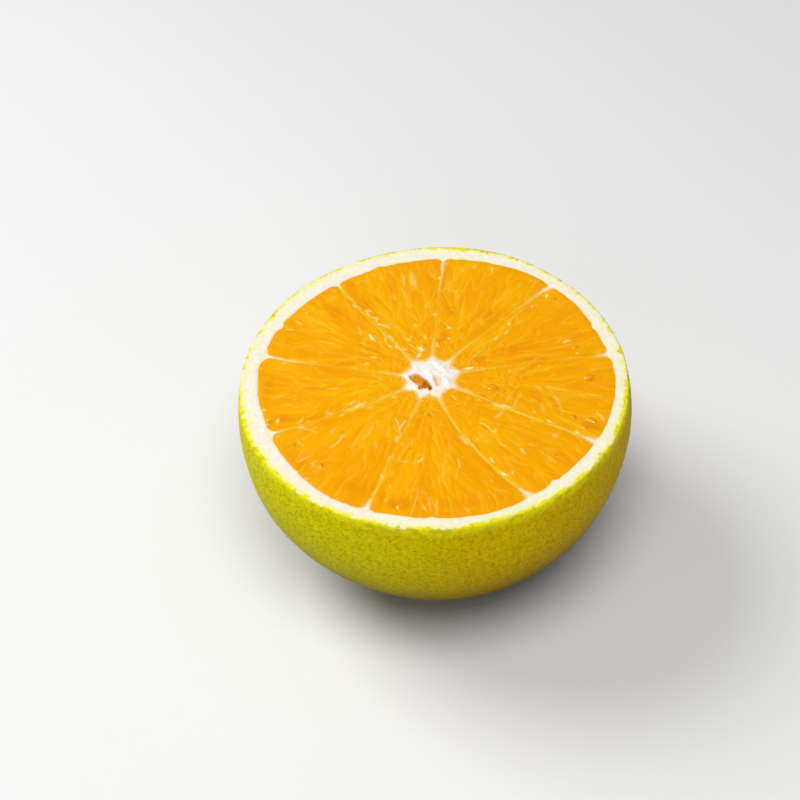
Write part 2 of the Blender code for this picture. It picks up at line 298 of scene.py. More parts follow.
TONES = (
    # wide soft changes of the juice: x, y, half length, half width, direction, yellower or, below 0, deeper
    (-16.0, -3.0, 9.0, 5.0, 10, 0.7),
    (-11.0, -13.0, 7.0, 4.0, 60, 0.5),
    (1.0, -18.0, 6.0, 3.5, 0, 0.35),
    (14.0, -14.0, 6.0, 4.0, -40, 0.45),
    (13.0, 14.0, 4.5, 1.8, 50, 0.7),
    (8.8, 9.4, 2.2, 1.0, 50, 0.6),
    (-22.5, 22.5, 4.0, 1.6, 40, 0.6),
    (-8.5, 26.0, 4.0, 2.0, -80, 0.4),
    (-11.5, 13.6, 4.0, 0.8, -58, 0.7),
    (1.8, 12.0, 2.4, 1.2, 80, -0.9),
    (11.5, 18.0, 3.2, 2.0, 60, -0.9),
    (3.0, 18.5, 2.0, 1.0, 90, -0.6),
    (8.5, 13.0, 2.4, 1.6, 50, -0.6),
    (17.5, 26.8, 2.2, 1.6, -45, -0.5),
    (9.3, 5.0, 1.8, 1.4, 10, -0.7),
    (15.5, 8.0, 2.2, 1.8, 20, -0.6),
    (20.5, 5.3, 3.0, 1.0, 15, -0.7),
    (24.5, 15.8, 2.0, 1.0, 25, -0.4),
    (-13.5, 22.3, 3.2, 2.2, -60, -0.7),
    (-20.0, 19.0, 3.0, 1.2, -80, -0.5),
    (-12.0, 8.8, 1.6, 1.2, -60, -0.5),
    (-26.0, 7.0, 4.0, 1.2, -8, -0.5),
    (-32.2, -2.0, 3.4, 1.2, 85, -0.7),
    (-28.5, -10.5, 3.0, 1.8, -15, -0.7),
    (-15.9, -6.1, 1.0, 0.5, -10, -0.8),
    (-7.6, -1.9, 1.3, 0.5, -10, -0.8),
    (-11.2, -4.1, 2.0, 0.4, 35, -0.6),
    (-25.5, -20.5, 4.5, 2.0, -52, -0.6),
    (-14.5, -27.5, 4.0, 2.4, -30, -0.6),
    (-6.3, -31.3, 3.8, 2.0, -12, -0.9),
    (7.5, -31.5, 6.0, 2.0, 12, -0.5),
    (-2.0, -10.5, 2.5, 1.4, 80, -0.5),
    (3.0, -16.3, 1.4, 0.6, 0, -0.5),
    (13.0, -2.6, 1.6, 1.3, 0, -0.5),
    (16.4, -3.5, 2.6, 0.8, 80, -0.5),
    (20.0, -4.8, 2.4, 1.2, -70, -0.8),
    (23.8, -6.0, 3.2, 0.7, -68, -0.7),
    (26.5, -12.2, 2.2, 1.4, -35, -0.6),
    (30.6, -12.3, 2.0, 1.8, 0, -1.0),
    (25.0, 2.5, 5.0, 1.6, 5, -0.4),
    (31.2, 0.4, 1.8, 1.8, 0, -0.5),
    (19.0, -12.8, 1.6, 1.0, 0, -0.4),
)
SMALL_PATCHES = 7
SMALL_PATCH_STRENGTH = (0.15, 0.45)

rng = np.random.default_rng(SEED)
wall_wave = rng.uniform(0, 2 * math.pi, (WALL_COUNT, 2))


# Noise and blending

def smooth_step(value, low=0.0, high=1.0):
    share = np.clip((value - low) / (high - low), 0, 1)
    return share * share * (3 - 2 * share)


def swirl(points, length, seed=0):
    """Smooth noise of about -1 to 1 at each point, with features of this length."""
    flat = np.asarray(points, float).reshape(-1, 3) / length + (seed * 13.7, seed * 7.9, seed * 3.1)
    values = np.fromiter(map(noise.noise, flat.tolist()), float, len(flat))
    return values.reshape(np.shape(points)[:-1])


def sway(points, length, east_seed, north_seed):
    """A smooth shift in x and y at each point, of about -1 to 1."""
    return np.stack((swirl(points, length, east_seed), swirl(points, length, north_seed)), -1)


def pits(points, spacing, seed=0):
    """Distance from each point to its nearest scattered spot, as a share of the spots' spacing."""
    flat = np.asarray(points, float).reshape(-1, 3) / spacing + (seed * 5.3, seed * 2.9, seed * 8.7)
    values = np.fromiter((noise.voronoi(p)[0][0] for p in flat.tolist()), float, len(flat))
    return values.reshape(np.shape(points)[:-1])


# Columns across the cut face. Each ring of the face has one point in every column.

def way_out(radius):
    """Share of the way from the core's edge to the pith."""
    return (radius - CORE_RADIUS) / (FLESH_RADIUS - CORE_RADIUS)


def wall_angle(wall, radius):
    """Direction of each wall from the core's middle at this radius, with a slight natural waver."""
    at_pith, at_core = WALL_WAYS[wall % WALL_COUNT].T.reshape((2,) + np.shape(wall))
    share = way_out(radius)
    waves = wall_wave[wall % WALL_COUNT].T.reshape((2,) + np.shape(wall))
    waver = sum(size * np.sin(radius / length + wave) for (size, length), wave in zip(WALL_WAVERS, waves))
    turns = 2 * math.pi * (wall // WALL_COUNT)
    return at_core + (at_pith - at_core) * share + turns + waver / np.maximum(radius, CORE_RADIUS)


def wall_half_width(radius):
    """Walls are thinnest half way, and thicken towards the pith and the core."""
    thinnest, more_at_pith, more_at_core = WALL_HALF_WIDTHS
    near_pith = np.exp((radius - FLESH_RADIUS) / (2.2 * MM))
    near_core = np.exp((CORE_RADIUS + CORE_ARM - radius) / (2.0 * MM))
    return (thinnest + more_at_pith * near_pith + more_at_core * near_core) * MM


def make_columns():
    """For each column: the wall before it, its share of the way to the next, and its side if on a wall."""
    per_degree = 2 * math.pi * FLESH_RADIUS / 360 / PULP_STEP
    widths = [(WALLS[(s + 1) % WALL_COUNT][0] - WALLS[s][0]) % 360 for s in range(WALL_COUNT)]
    steps = [round(width * per_degree) for width in widths]
    total = sum(steps) + WALL_COUNT * (1 + len(WALL_SIDES))
    steps[-1] += -total % COLUMN_MULTIPLE
    wall, share, side = [], [], []
    for segment, count in enumerate(steps):
        for one in WALL_SIDES:
            wall.append(segment)
            share.append(0)
            side.append(one)
        for step in range(count + 1):
            wall.append(segment)
            share.append(step / count)
            side.append(np.nan)
    return np.array(wall), np.array(share), np.array(side)


wall_of, share_of, side_of = make_columns()
on_wall = ~np.isnan(side_of)
COLUMNS = len(wall_of)


def column_angle(radius, pick=slice(None)):
    """Direction of the picked columns from the core's middle, at a radius for each, or at rows of them."""
    start = wall_angle(wall_of[pick], radius)
    end = wall_angle(wall_of[pick] + 1, radius)
    half = wall_half_width(radius) / radius
    across = start + half + (end - start - 2 * half) * share_of[pick]
    return np.where(on_wall[pick], start + np.nan_to_num(side_of[pick]) * half, across)


def wall_distance(radius, pick=slice(None)):
    """From each picked column to the middle of the nearer wall, at this radius."""
    angle = column_angle(radius, pick)
    since = angle - wall_angle(wall_of[pick], radius)
    until = wall_angle(wall_of[pick] + 1, radius) - angle
    return radius * np.minimum(np.abs(since), until)


def segment_reach():
    """For each column, how far the pulp reaches from the fruit's axis."""
    reach = np.zeros(COLUMNS)
    for segment, (start, end) in enumerate(SEGMENT_REACH):
        before = (SEGMENT_REACH[segment - 1][1] + start) / 2
        after = (SEGMENT_REACH[(segment + 1) % WALL_COUNT][0] + end) / 2
        own = wall_of == segment
        knots = (0, REACH_SHARE, 1 - REACH_SHARE, 1)
        reach[own] = np.interp(share_of[own], knots, (before, start, end, after))
    return reach * MM


def outer_radii():
    """From the core's middle to where each column meets the pith, and how far a round corner draws it in."""
    at = np.full(COLUMNS, FLESH_RADIUS)
    angle = column_angle(at)
    along = np.stack((np.cos(angle), np.sin(angle)), -1)
    ahead = along @ CORE_MIDDLE
    length = np.sqrt(ahead**2 - CORE_MIDDLE @ CORE_MIDDLE + segment_reach() ** 2) - ahead
    corner = WALL_CORNERS[(wall_of + np.round(share_of).astype(int)) % WALL_COUNT]
    into = np.clip(corner - wall_distance(at), 0, corner)
    inset = corner - np.sqrt(corner**2 - into**2)
    edge = np.concatenate((along, np.zeros((COLUMNS, 1))), 1) * FLESH_RADIUS
    ripple = 0.20 * MM * swirl(edge, 5 * MM, 1) + 0.13 * MM * swirl(edge, 1.5 * MM, 2)
    notch = np.zeros(COLUMNS)
    for notch_deg, depth in NOTCHES:
        apart = np.angle(np.exp(1j * (angle - math.radians(notch_deg)))) * FLESH_RADIUS
        notch = notch + depth * MM * np.exp(-((apart / NOTCH_HALF_WIDTH) ** 2))
    return length - inset - notch + ripple, inset


def inner_radii():
    """From the core's middle to where each column leaves the core's white fibre."""
    at = np.full(COLUMNS, CORE_RADIUS)
    angle = column_angle(at)
    nearness = np.clip(1 - wall_distance(at) / CORE_ARM_HALF_WIDTH, 0, 1)
    edge = np.stack((np.cos(angle), np.sin(angle), 0 * angle), -1) * CORE_RADIUS
    ripple = 0.30 * MM * swirl(edge, 3 * MM, 3) + 0.20 * MM * swirl(edge, 1.1 * MM, 4)
    ripple = ripple + 0.14 * MM * swirl(edge, 0.45 * MM, 5)
    return CORE_RADIUS + CORE_ARM * nearness**2 + ripple


outer_of, inset_of = outer_radii()
inner_of = inner_radii()


def round_core(radius, angle, height):
    """Points this far from the core's middle in this direction, and this high above the cut."""
    x = CORE_MIDDLE[0] + radius * np.cos(angle)
    y = CORE_MIDDLE[1] + radius * np.sin(angle)
    return np.stack((x, y, FACE_Z + height + 0 * x), -1)


def face_points(radius, height, pick=slice(None)):
    return round_core(radius, column_angle(radius, pick), height)


# Mesh making

def add_object(name, points, faces, values=None, vectors=None):
    """A smooth mesh object, with named numbers or vectors at its points for the material to read."""
    mesh = bpy.data.meshes.new(name)
    mesh.from_pydata(points.reshape(-1, 3).tolist(), [], faces)
    for key, value in (values or {}).items():
        layer = mesh.attributes.new(key, "FLOAT", "POINT")
        layer.data.foreach_set("value", np.ascontiguousarray(value, np.float32).ravel())
    for key, value in (vectors or {}).items():
        layer = mesh.attributes.new(key, "FLOAT_VECTOR", "POINT")
        layer.data.foreach_set("vector", np.ascontiguousarray(value, np.float32).ravel())
    mesh.validate()
    mesh.shade_smooth()
    mesh.set_sharp_from_angle(angle=math.radians(SHARP_DEG))
    piece = bpy.data.objects.new(name, mesh)
    bpy.context.collection.objects.link(piece)
    return piece


def sheet_faces(rows, columns):
    """Faces of an open grid, turned up when its rows run outward and its columns anticlockwise."""
    start = (np.arange(rows - 1)[:, None] * columns + np.arange(columns - 1)).ravel()
    return np.stack((start, start + columns, start + columns + 1, start + 1), 1).tolist()


def ring_faces(rings):
    """Faces of a stack of closed rings. From one ring to the next the count stays, halves or doubles."""
    faces = []
    start = 0
    for inner, outer in zip(rings, rings[1:]):
        after = start + len(inner)
        here = np.arange(min(len(inner), len(outer)))
        there = (here + 1) % len(here)
        if len(inner) == len(outer):
            faces += np.stack((start + here, after + here, after + there, start + there), 1).tolist()
        else:
            fine, coarse = (start, after) if len(inner) > len(outer) else (after, start)
            triples = (
                (fine + 2 * here, coarse + here, fine + 2 * here + 1),
                (fine + 2 * here + 1, coarse + here, coarse + there),
                (fine + 2 * here + 1, coarse + there, fine + 2 * there),
            )
            for triple in triples:
                faces += np.stack(triple if fine == start else triple[::-1], 1).tolist()
        start = after
    return faces


# Peel

def peel_points(longitude, latitude):
    """Points on the peel as the solid has them, before its pores."""
    radius = FRUIT_RADIUS * np.cos(latitude) + 0 * longitude
    for lobes, height, first_deg in LOBES:
        radius = radius + height * np.cos(lobes * (longitude - math.radians(first_deg))) * np.cos(latitude)
    z = MIDDLE_Z + POLE_RADIUS * np.sin(latitude) + 0 * longitude
    outward = np.stack((np.cos(longitude), np.sin(longitude), 0 * longitude), -1)
    points = outward * radius[..., None]
    points[..., 2] = z
    fade = smooth_step(latitude - FLAT_LATITUDE, 0, math.radians(SWELL_FADE_DEG))
    swell = swirl(points, SWELL_LENGTH)
    return points + outward * (SWELL_HEIGHT * fade * swell)[..., None]


def outward_of(points):
    """Direction straight out of the peel at points near it."""
    way = (points - (0, 0, MIDDLE_Z)) / (FRUIT_RADIUS, FRUIT_RADIUS, POLE_RADIUS) ** np.array(2)
    return way / np.linalg.norm(way, axis=-1, keepdims=True)


def pore_relief(points):
    """Height of the peel's fine relief: oil pores sunk in a gently pebbled skin."""
    near = pits(points, PORE_SPACING, 1)
    pebble = 0.035 * MM * swirl(points, 1.0 * MM, 5) + 0.06 * MM * swirl(points, 3.4 * MM, 6)
    return pebble - PORE_DEPTH * (1 - smooth_step(near, 0.10, 0.42))


def spread_longitudes():
    """A longitude for each column at the pith's edge, evened out so that none crowd."""
    points = face_points(outer_of, 0)
    own = np.unwrap(np.arctan2(points[:, 1], points[:, 0]))
    even = 2 * math.pi * np.arange(COLUMNS) / COLUMNS
    reach = round(COLUMNS / SPREAD_SHARE)
    drift = own - even
    window = np.ones(2 * reach + 1) / (2 * reach + 1)
    padded = np.concatenate((drift[-reach:], drift, drift[:reach]))
    return even + np.convolve(padded, window, "valid")


longitudes = spread_longitudes()


def zest_edge():
    """The ragged line on the cut face where the coloured zest ends and the white pith begins."""
    rim = peel_points(longitudes, np.full(COLUMNS, CUT_LATITUDE))
    flat = rim * (1, 1, 0)
    radial = flat / np.linalg.norm(flat, axis=-1, keepdims=True)
    ragged = 0.12 * MM * swirl(rim, 0.9 * MM, 7) + 0.12 * MM * swirl(rim, 2.4 * MM, 8)
    edge = rim - radial * (ZEST + ragged)[:, None]
    edge[:, 2] = FACE_Z
    return edge, rim, radial


def make_peel():
    edge, rim, radial = zest_edge()
    rings = [edge]
    for inset, drop in RIM_RINGS:
        ring = rim - radial * inset * MM
        ring[:, 2] = FACE_Z - drop * MM + 0.07 * MM * swirl(ring, 0.9 * MM, 9)
        rings.append(ring)
    top = CUT_LATITUDE - RIM_DROP / POLE_RADIUS
    rows = round(FRUIT_RADIUS * (top - FLAT_LATITUDE) / PEEL_STEP)
    lines = longitudes[::2]
    for row in range(rows + 1):
        latitude = top + (FLAT_LATITUDE - top) * row / rows
        step = 2 * math.pi * FRUIT_RADIUS * math.cos(latitude) / len(lines)
        if step < 0.55 * PEEL_STEP and len(lines) % 2 == 0:
            lines = lines[::2]
        ring = peel_points(lines, np.full(len(lines), latitude))
        relief = pore_relief(ring)
        fade = smooth_step(np.full(len(lines), float(row)), rows + 0.5, rows - 4) if row > rows - 5 else 1
        ring = ring + outward_of(ring) * (relief * fade)[:, None]
        rings.append(ring)
    # The flat spot, and the dimple in it
    for radius, height in DIMPLE_RINGS:
        ring = np.stack((np.cos(lines), np.sin(lines), 0 * lines), -1) * radius * MM
        ring[:, 2] = height * MM
        if height > 0.1:
            ring[:, 2] += 0.08 * MM * swirl(ring, 0.7 * MM, 10)
        rings.append(ring)
    points = np.concatenate(rings)
    faces = ring_faces(rings)
    last = len(points) - len(rings[-1])
    faces.append(list(range(last, len(points)))[::-1])
    return add_object("peel", points, faces), edge


# Pith

def make_pith(zest_line):
    inner = face_points(outer_of, 0)
    rings = [inner - (0, 0, PITH_SKIRT)]
    inward = [np.ones(COLUMNS)]
    width = np.linalg.norm(zest_line - inner, axis=-1)
    for row in range(PITH_ROWS + 1):
        share = row / PITH_ROWS
        ring = inner + (zest_line - inner) * share
        past_corner = np.maximum(width * share - 0.85 * inset_of, 0)
        near_pulp = np.exp(-((past_corner / (0.35 * MM)) ** 1.5))
        ring[:, 2] -= PITH_DIP * near_pulp
        if 0 < row < PITH_ROWS:
            rough = 0.05 * MM * swirl(ring, 1.3 * MM, 11) + 0.025 * MM * swirl(ring, 0.5 * MM, 12)
            ring[:, 2] += rough * (1 - near_pulp)
        rings.append(ring)
        inward.append(near_pulp * np.exp(-width * share / (0.45 * MM)))
    return add_object("pith", np.concatenate(rings), ring_faces(rings), {"inward": np.concatenate(inward)})


# Pulp

def scatter_sacs(segment, focus, draw):
    """Places, directions and half sizes of one segment's juice sacs. They fan out from the focus."""
    places, turns, halves = [], [], []
    span = wall_angle(segment + 1, FLESH_RADIUS) - wall_angle(segment, FLESH_RADIUS)
    for _ in range(SAC_TRIES):
        reach = math.sqrt(draw.uniform(CORE_RADIUS**2, (FLESH_RADIUS + MM) ** 2))
        angle = wall_angle(segment, reach) + span * draw.uniform(-0.05, 1.05)
        place = CORE_MIDDLE + reach * np.array((math.cos(angle), math.sin(angle)))
        outward = place - focus
        far = float(smooth_step(np.hypot(*outward), 2 * MM, 14 * MM))
        turn = math.atan2(outward[1], outward[0]) + math.radians(draw.normal(0, 12 + 40 * (1 - far)))
        half_length = (1.5 + 2.6 * far) * draw.uniform(0.8, 1.2) * MM
        half_width = (0.80 + 0.25 * far) * draw.uniform(0.85, 1.15) * MM
        if places:
            apart = sac_distance(place, np.array(places), np.array(turns), np.array(halves))[0]
            if apart.min() < SAC_SPACING:
                continue
        places.append(place)
        turns.append(turn)
        halves.append((half_length, half_width))
    return np.array(places), np.array(turns), np.array(halves)


def sac_distance(point, places, turns, halves):
    """From a point to each sac's middle in half sizes of that sac, with the offsets along and across it."""
    east = point[..., 0, None] - places[:, 0]
    north = point[..., 1, None] - places[:, 1]
    along = (east * np.cos(turns) + north * np.sin(turns)) / halves[:, 0]
    across = (north * np.cos(turns) - east * np.sin(turns)) / halves[:, 1]
    across = across / np.clip(1 + 0.35 * along, 0.5, 1.4)
    return np.hypot(along, across), along, across


def from_spot(places, x, y, half_length, half_width, direction_deg):
    """Distance of each place from a spot's middle, in half sizes of the spot."""
    turn = math.radians(direction_deg)
    east = places[..., 0] / MM - x
    north = places[..., 1] / MM - y
    along = (east * math.cos(turn) + north * math.sin(turn)) / half_length
    across = (north * math.cos(turn) - east * math.sin(turn)) / half_width
    return np.hypot(along, across)


def wet_patches(places, segment, draw):
    """How far each place lies in a wet patch, pale with a painted highlight, with small ones scattered near
    the walls.
    """
    patches = list(WET_PATCHES)
    for _ in range(SMALL_PATCHES):
        reach = draw.uniform(0.25, 0.98) * FLESH_RADIUS
        side = draw.integers(2)
        off = abs(draw.normal(0, 0.07)) * (1 - 2 * side)
        turn = float(wall_angle(segment + side, reach)) + off
        x, y = (CORE_MIDDLE + reach * np.array((math.cos(turn), math.sin(turn)))) / MM
        size = draw.uniform(0.30, 0.85)
        lie = math.degrees(turn) + draw.normal(0, 30)
        strength = draw.uniform(*SMALL_PATCH_STRENGTH)
        patches.append((x, y, size, size * draw.uniform(0.35, 0.6), lie, strength))
    wet_and_glint = np.zeros(places.shape[:-1])
    for *spot, strength in patches:
        wet_and_glint = np.maximum(wet_and_glint, strength * smooth_step(from_spot(places, *spot), 1.5, 0.2))
    flat = np.concatenate((places, np.zeros(places.shape[:-1] + (1,))), -1)
    broken = smooth_step(swirl(flat, 1.2 * MM, 36), -0.30, 0.35)
    for *spot, strength in WET_RINGS:
        away = from_spot(places, *spot)
        ring = smooth_step(away, 1.7, 0.9) * smooth_step(away, 0.2, 1.1) * broken
        wet_and_glint = np.maximum(wet_and_glint, strength * ring)
    return wet_and_glint


def strokes_on(places):
    """How far each place lies on the pale cut skin of a sac, and how far in a crease beside one, where the
    dark colour is painted shade.
    """
    pale = np.zeros(places.shape[:-1])
    shaded_crease = np.zeros(places.shape[:-1])
    for x0, y0, x1, y1, sag, half_width, strength in STROKES:
        length = math.hypot(x1 - x0, y1 - y0)
        way = np.array((x1 - x0, y1 - y0)) / length
        off = places / MM - (x0, y0)
        along = off @ way
        share = np.clip(along / length, 0, 1)
        across = off @ (-way[1], way[0]) - 4 * sag * share * (1 - share)
        taper = 0.45 + 0.55 * np.sin(math.pi * share)
        cover = smooth_step(np.hypot(across, along - share * length) / (half_width * taper), 1.9, 0.1)
        if strength > 0:
            pale = np.maximum(pale, strength * cover)
        else:
            shaded_crease = np.maximum(shaded_crease, -strength * cover)
    return pale, shaded_crease


def juice_tone(places):
    """How much yellower or deeper than the rest the juice is at each place."""
    tone = np.zeros(places.shape[:-1])
    for *spot, change in TONES:
        tone = tone + change * smooth_step(from_spot(places, *spot), 1.5, 0.1)
    return np.clip(tone, -1, 1)


def wall_web(radius, pick, places):
    """How far the pale skin of the nearer wall reaches over the pulp, and how white it is there."""
    angle = column_angle(radius, pick)
    since = radius * (angle - wall_angle(wall_of[pick], radius))
    until = radius * (wall_angle(wall_of[pick] + 1, radius) - angle)
    nearer = np.where(since < until, wall_of[pick], wall_of[pick] + 1) % WALL_COUNT
    return web_at(radius, np.minimum(np.abs(since), until), nearer, places)


def web_at(radius, to_wall, wall, places):
    """The same at this distance from the middle of this wall."""
    looks = np.array(WALL_LOOKS)[wall]
    at_core, half_way, at_pith, white_length = np.moveaxis(looks, -1, 0)
    share = np.clip(way_out(radius), 0, 1)
    seen = np.where(share < 0.5, at_core + (half_way - at_core) * smooth_step(share, 0.1, 0.5),
                    half_way + (at_pith - half_way) * smooth_step(share, 0.5, 0.9))
    blotch = swirl(places, 2.2 * MM, 110)
    near_pith = smooth_step((FLESH_RADIUS - radius) / MM / white_length, 1.3, 0.3)
    funnel = np.exp((radius - FLESH_RADIUS) / (1.3 * MM))
    near_core = np.exp((CORE_RADIUS + CORE_ARM - radius) / (1.6 * MM))
    reach = (0.46 + 0.6 * np.clip(blotch, 0, 1) + 0.50 * funnel + 0.45 * np.minimum(near_core, 1)) * MM
    white = np.clip(near_pith + 0.55 * near_core, 0, 1)
    seen = seen * np.clip(0.85 + 0.9 * swirl(places, 3.5 * MM, 111), 0.3, 1.1)
    return smooth_step(to_wall, reach, 0.0) * np.clip(np.maximum(seen, white * at_pith), 0, 1), white


def with_skirts(grid):
    """A grid with its first and last columns repeated, for the sides that go down along the walls."""
    return np.concatenate((grid[:, :1], grid, grid[:, -1:]), 1)


def make_segment(segment):
    """The pulp of one segment."""
    pick = np.flatnonzero((wall_of == segment) & ~on_wall)
    inner, outer = inner_of[pick], outer_of[pick]
    rows = round((FLESH_RADIUS - CORE_RADIUS) / PULP_STEP)
    even = np.arange(rows + 1) / rows
    share = even - 0.5 * np.sin(2 * math.pi * even) / (2 * math.pi)
    radius = inner + (outer - inner) * share[:, None]
    to_wall = wall_distance(radius, pick) - wall_half_width(radius)
    to_end = np.minimum(radius - inner, outer - radius)
    edge = np.maximum(np.minimum(to_wall, to_end), 0)
    flat = face_points(radius, 0, pick)

    draw = np.random.default_rng(SEED + 101 * (segment + 1))
    focus_reach = CORE_RADIUS + FOCUS_SHARES[segment] * (FLESH_RADIUS - CORE_RADIUS)
    focus_turn = (wall_angle(segment, focus_reach) + wall_angle(segment + 1, focus_reach)) / 2
    focus = CORE_MIDDLE + focus_reach * np.array((math.cos(focus_turn), math.sin(focus_turn)))
    places, turns, halves = scatter_sacs(segment, focus, draw)
    warp = 0.6 * MM * sway(flat, 5 * MM, 20 + segment, 40 + segment)
    warp = warp + 1.5 * MM * sway(flat, 11 * MM, 70 + segment, 90 + segment)
    warp = warp + 0.08 * MM * sway(flat, 1.5 * MM, 50 + segment, 60 + segment)
    bent = flat[..., :2] + warp
    distance, along, across = sac_distance(bent, places, turns, halves)
    order = np.argsort(distance, -1)[..., :2]
    own = order[..., 0]
    nearest, second = np.moveaxis(np.take_along_axis(distance, order, -1), -1, 0)
    inside = (second - nearest) / 2 * halves[own, 1]
    sac_tone = draw.uniform(0, 1, len(places))
    sac_lean = draw.uniform(-1, 1, len(places))
    tone = sac_tone[own]
    lean = sac_lean[own] * np.take_along_axis(across, order[..., :1], -1)[..., 0]

    # Streaks fan out from the focus: their place in the fan, as a direction and a distance
    fan = bent - focus
    spread = np.hypot(fan[..., 0], fan[..., 1])
    way = fan / np.maximum(spread, FOCUS_BLUR)[..., None]
    flow = np.concatenate((way * FAN_FINENESS, (spread / FAN_LENGTH)[..., None] + 9.0 * segment), -1)
    strands = swirl(flow * MM, 1.0 * MM, 80 + segment)

    dome = smooth_step(inside, 0, 0.60 * MM)
    near_focus = 1 - smooth_step(spread, 4 * MM, 14 * MM)
    bulge = SAC_BULGE + SAC_BULGE_AT_FOCUS * near_focus
    relief = (bulge * (dome - 0.65) + SAC_LEAN * lean) * smooth_step(edge, 0.1 * MM, 1.8 * MM)
    groove = smooth_step(edge, 0, 0.9 * MM)
    height = (EDGE_HEIGHT + GROOVE_DEPTH * groove + relief + STRAND_HEIGHT * strands * groove) * MM

    shift = 0.30 * MM * sway(flat, 1.1 * MM, 30, 31) + 0.12 * MM * sway(flat, 0.45 * MM, 34, 35)
    marked = flat[..., :2] + shift
    wet_and_glint = wet_patches(marked, segment, draw)
    pale, shaded_crease = strokes_on(marked)
    juice = juice_tone(flat[..., :2] + 1.1 * MM * sway(flat, 3.5 * MM, 32, 33))
    marks = WET_HEIGHT * wet_and_glint + STROKE_HEIGHT * pale - CREASE_DEPTH * shaded_crease
    height = height + marks * MM * smooth_step(edge, 0, 0.6 * MM)
    web, white = wall_web(radius, pick, flat)
    seam = draw.uniform(0, 1, SEAM_KINDS)[(own + order[..., 1]) % SEAM_KINDS]
    values = {
        "tone": tone,
        "seam": seam,
        "inside": inside / MM,
        "edge": edge / MM,
        "from_core": (radius - inner) / MM,
        "wet_and_glint": wet_and_glint,
        "web": web,
        "white": white,
        "strands": strands,
        "pale": pale,
        "shaded_crease": shaded_crease,
        "juice": juice,
    }
    points = face_points(radius, height, pick)
    points = with_skirts(points)
    points[:, [0, -1], 2] -= PULP_SKIRT
    values = {key: with_skirts(value) for key, value in values.items()}
    faces = sheet_faces(rows + 1, len(pick) + 2)
    return add_object(f"pulp_{segment + 1}", points, faces, values, {"flow": with_skirts(flow)})


# Walls between the segments

def make_wall(wall):
    first = int(np.flatnonzero((wall_of == wall) & on_wall)[0])
    beside = np.array((first - 1, first + len(WALL_SIDES)))
    start = inner_of[beside].min() - WALL_TUCK
    end = outer_of[beside].max() + WALL_TUCK
    rows = round((end - start) / PULP_STEP)
    side = np.array(WALL_STRIP)
    radius = np.repeat(np.linspace(start, end, rows + 1)[:, None], len(side), 1)
    middle = wall_angle(np.full(len(side), wall), radius)
    angle = middle + side * wall_half_width(radius) / radius
    under = smooth_step(radius, end - WALL_TUCK, end) + smooth_step(radius, start + WALL_TUCK, start)
    height = (np.array(WALL_CROWN) - 0.15 * under) * MM
    points = round_core(radius, angle, height)
    points[..., 2] += 0.012 * MM * swirl(points, 1.4 * MM, 70 + wall)
    web, white = web_at(radius, 0 * radius, np.full(radius.shape, wall), points)
    values = {"web": web, "white": white}
    return add_object(f"wall_{wall + 1}", points, sheet_faces(rows + 1, len(side)), values)


# Core

CAVITIES = (
    # x, y, half length, half width, direction in degrees, depth, colour share, softness of its edge
    (-2.6, -0.4, 2.7, 1.15, -42, 2.0, 1.0, 0.5),
    (-1.6, -2.0, 1.5, 0.75, 5, 1.5, 0.9, 0.5),
    (0.8, -0.3, 1.9, 1.15, -75, 0.6, 0.30, 1.4),
)


def turned(points, angle_deg):
    """Points turned about the vertical, so that this direction becomes +Y."""
    turn = math.radians(90 - angle_deg)
    x = points[..., 0] * math.cos(turn) - points[..., 1] * math.sin(turn)
    y = points[..., 0] * math.sin(turn) + points[..., 1] * math.cos(turn)
    return np.stack((x, y, points[..., 2]), -1)


def cavity_depth(points):
    """How deep each point of the core lies in a cavity, how far into a coloured one, and how far along it,
    which the painted shade in it follows.
    """
    depth = np.zeros(len(points))
    into = np.zeros(len(points))
    shade = np.zeros(len(points))
    warp = 0.55 * MM * swirl(points, 1.2 * MM, 13) + 0.25 * MM * swirl(points, 0.5 * MM, 16)
    for x, y, half_length, half_width, direction_deg, deep, colour, softness in CAVITIES:
        turn = math.radians(direction_deg)
        east = points[:, 0] - x * MM + warp
        north = points[:, 1] - y * MM - warp
        length = (east * math.cos(turn) + north * math.sin(turn)) / (half_length * MM)
        width = (north * math.cos(turn) - east * math.sin(turn)) / (half_width * MM)
        inside = 1 - (np.abs(length) ** 2.6 + np.abs(width) ** 2.6) ** 0.5
        here = smooth_step(inside, 0, softness)
        depth = np.maximum(depth, deep * MM * here)
        into = np.maximum(into, colour * smooth_step(inside, -0.05, 0.6 * softness))
        shade = np.where(here > 0, length, shade)
    return depth, into, shade


